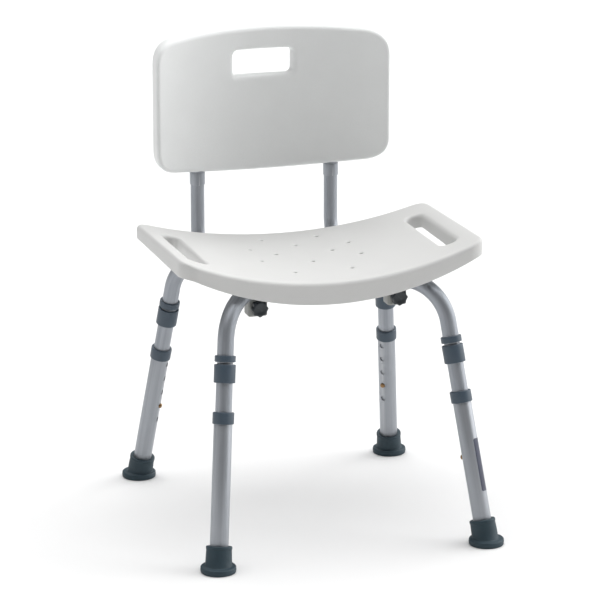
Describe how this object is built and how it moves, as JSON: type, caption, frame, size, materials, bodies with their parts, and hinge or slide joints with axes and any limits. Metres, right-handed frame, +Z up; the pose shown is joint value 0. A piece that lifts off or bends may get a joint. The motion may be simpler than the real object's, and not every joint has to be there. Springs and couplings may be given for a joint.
{
  "type": "shower chair",
  "caption": "Height-adjustable shower chair: saddle-shaped plastic seat with hand slots and drain holes, curved backrest with a handle, splayed aluminium legs with rubber feet.",
  "frame": {"origin": "on the floor, in the middle of the chair's overall width and depth", "axes": "+Z up, -Y is the front of the seat, +X is to the right of someone who looks at the chair from the front"},
  "size_m": [0.488, 0.5426, 0.735],
  "materials": {
    "seat_plastic": "satin moulded plastic, finely grained on top",
    "back_plastic": "pebbled moulded plastic",
    "anodised_tube": "satin anodised, drawn lengthwise",
    "slate_plastic": "satin",
    "clamp_plastic": "satin",
    "slate_rubber": "matt",
    "black_plastic": "satin",
    "spring_steel": "bright",
    "brass_button": "satin",
    "steel_screw": "bright zinc"
  },
  "bodies": {
    "frame": {"seat_panel": "seat_plastic", "frame_tube_upper": "anodised_tube", "frame_tube_lower": "anodised_tube", "frame_cross_rivet": "steel_screw", "seat_screw_front_left": "steel_screw", "cross_clamp_front_left": "clamp_plastic", "frame_collar_front_left": "slate_plastic", "seat_screw_front_right": "steel_screw", "cross_clamp_front_right": "clamp_plastic", "frame_collar_front_right": "slate_plastic", "seat_screw_back_left": "steel_screw", "cross_clamp_back_left": "clamp_plastic", "frame_collar_back_left": "slate_plastic", "seat_screw_back_right": "steel_screw", "cross_clamp_back_right": "clamp_plastic", "frame_collar_back_right": "slate_plastic"},
    "leg_front_left": {"leg_inner_tube_front_left": "anodised_tube", "leg_wide_collar_front_left": "slate_plastic", "button_spring_front_left": "spring_steel"},
    "leg_extension_front_left": {"leg_outer_tube_front_left": "anodised_tube", "leg_lower_collar_front_left": "slate_plastic", "foot_front_left": "slate_rubber"},
    "button_front_left": {"snap_button_front_left": "brass_button"},
    "leg_front_right": {"leg_inner_tube_front_right": "anodised_tube", "leg_wide_collar_front_right": "slate_plastic", "button_spring_front_right": "spring_steel"},
    "leg_extension_front_right": {"leg_outer_tube_front_right": "anodised_tube", "leg_lower_collar_front_right": "slate_plastic", "foot_front_right": "slate_rubber"},
    "button_front_right": {"snap_button_front_right": "brass_button"},
    "leg_back_left": {"leg_inner_tube_back_left": "anodised_tube", "leg_wide_collar_back_left": "slate_plastic", "button_spring_back_left": "spring_steel"},
    "leg_extension_back_left": {"leg_outer_tube_back_left": "anodised_tube", "leg_lower_collar_back_left": "slate_plastic", "foot_back_left": "slate_rubber"},
    "button_back_left": {"snap_button_back_left": "brass_button"},
    "leg_back_right": {"leg_inner_tube_back_right": "anodised_tube", "leg_wide_collar_back_right": "slate_plastic", "button_spring_back_right": "spring_steel"},
    "leg_extension_back_right": {"leg_outer_tube_back_right": "anodised_tube", "leg_lower_collar_back_right": "slate_plastic", "foot_back_right": "slate_rubber"},
    "button_back_right": {"snap_button_back_right": "brass_button"},
    "back": {"back_panel": "back_plastic", "back_tube_left": "anodised_tube", "back_sleeve_left": "anodised_tube", "back_tube_plug_left": "black_plastic", "back_screw_left": "steel_screw", "back_tube_right": "anodised_tube", "back_sleeve_right": "anodised_tube", "back_tube_plug_right": "black_plastic", "back_screw_right": "steel_screw"},
    "knob_left": {"thumb_knob_left": "black_plastic"},
    "knob_right": {"thumb_knob_right": "black_plastic"}
  },
  "joints": [
    {"name": "leg_pull_off_front_left", "type": "slide", "parent": "frame", "child": "leg_front_left", "axis": [-0.1066, -0.2376, -0.9655], "range_m": [0, 0.045]},
    {"name": "height_front_left", "type": "slide", "parent": "leg_front_left", "child": "leg_extension_front_left", "axis": [-0.1066, -0.2376, -0.9655], "range_m": [-0.0254, 0.0762], "deforming": ["snap_button_front_left"]},
    {"name": "button_press_front_left", "type": "slide", "parent": "leg_front_left", "child": "button_front_left", "axis": [-0.7693, -0.5955, 0.2315], "range_m": [0, 0.0048], "stiffness_N_per_m": 1800, "deforming": ["button_spring_front_left"]},
    {"name": "leg_pull_off_front_right", "type": "slide", "parent": "frame", "child": "leg_front_right", "axis": [0.1066, -0.2376, -0.9655], "range_m": [0, 0.045]},
    {"name": "height_front_right", "type": "slide", "parent": "leg_front_right", "child": "leg_extension_front_right", "axis": [0.1066, -0.2376, -0.9655], "range_m": [-0.0254, 0.0762], "deforming": ["snap_button_front_right"]},
    {"name": "button_press_front_right", "type": "slide", "parent": "leg_front_right", "child": "button_front_right", "axis": [0.7693, -0.5955, 0.2315], "range_m": [0, 0.0048], "stiffness_N_per_m": 1800, "deforming": ["button_spring_front_right"]},
    {"name": "leg_pull_off_back_left", "type": "slide", "parent": "frame", "child": "leg_back_left", "axis": [-0.1066, 0.2376, -0.9655], "range_m": [0, 0.045]},
    {"name": "height_back_left", "type": "slide", "parent": "leg_back_left", "child": "leg_extension_back_left", "axis": [-0.1066, 0.2376, -0.9655], "range_m": [-0.0254, 0.0762], "deforming": ["snap_button_back_left"]},
    {"name": "button_press_back_left", "type": "slide", "parent": "leg_back_left", "child": "button_back_left", "axis": [-0.7693, 0.5955, 0.2315], "range_m": [0, 0.0048], "stiffness_N_per_m": 1800, "deforming": ["button_spring_back_left"]},
    {"name": "leg_pull_off_back_right", "type": "slide", "parent": "frame", "child": "leg_back_right", "axis": [0.1066, 0.2376, -0.9655], "range_m": [0, 0.045]},
    {"name": "height_back_right", "type": "slide", "parent": "leg_back_right", "child": "leg_extension_back_right", "axis": [0.1066, 0.2376, -0.9655], "range_m": [-0.0254, 0.0762], "deforming": ["snap_button_back_right"]},
    {"name": "button_press_back_right", "type": "slide", "parent": "leg_back_right", "child": "button_back_right", "axis": [0.7693, 0.5955, 0.2315], "range_m": [0, 0.0048], "stiffness_N_per_m": 1800, "deforming": ["button_spring_back_right"]},
    {"name": "back_pull_off", "type": "slide", "parent": "frame", "child": "back", "axis": [0, 1, 0], "range_m": [0, 0.22]},
    {"name": "knob_turn_left", "type": "hinge", "parent": "frame", "child": "knob_left", "pos_m": [-0.1125, -0.115, 0.3722], "axis": [0, -1, 0], "continuous": true},
    {"name": "knob_turn_right", "type": "hinge", "parent": "frame", "child": "knob_right", "pos_m": [0.1125, -0.115, 0.3722], "axis": [0, -1, 0], "continuous": true}
  ]
}
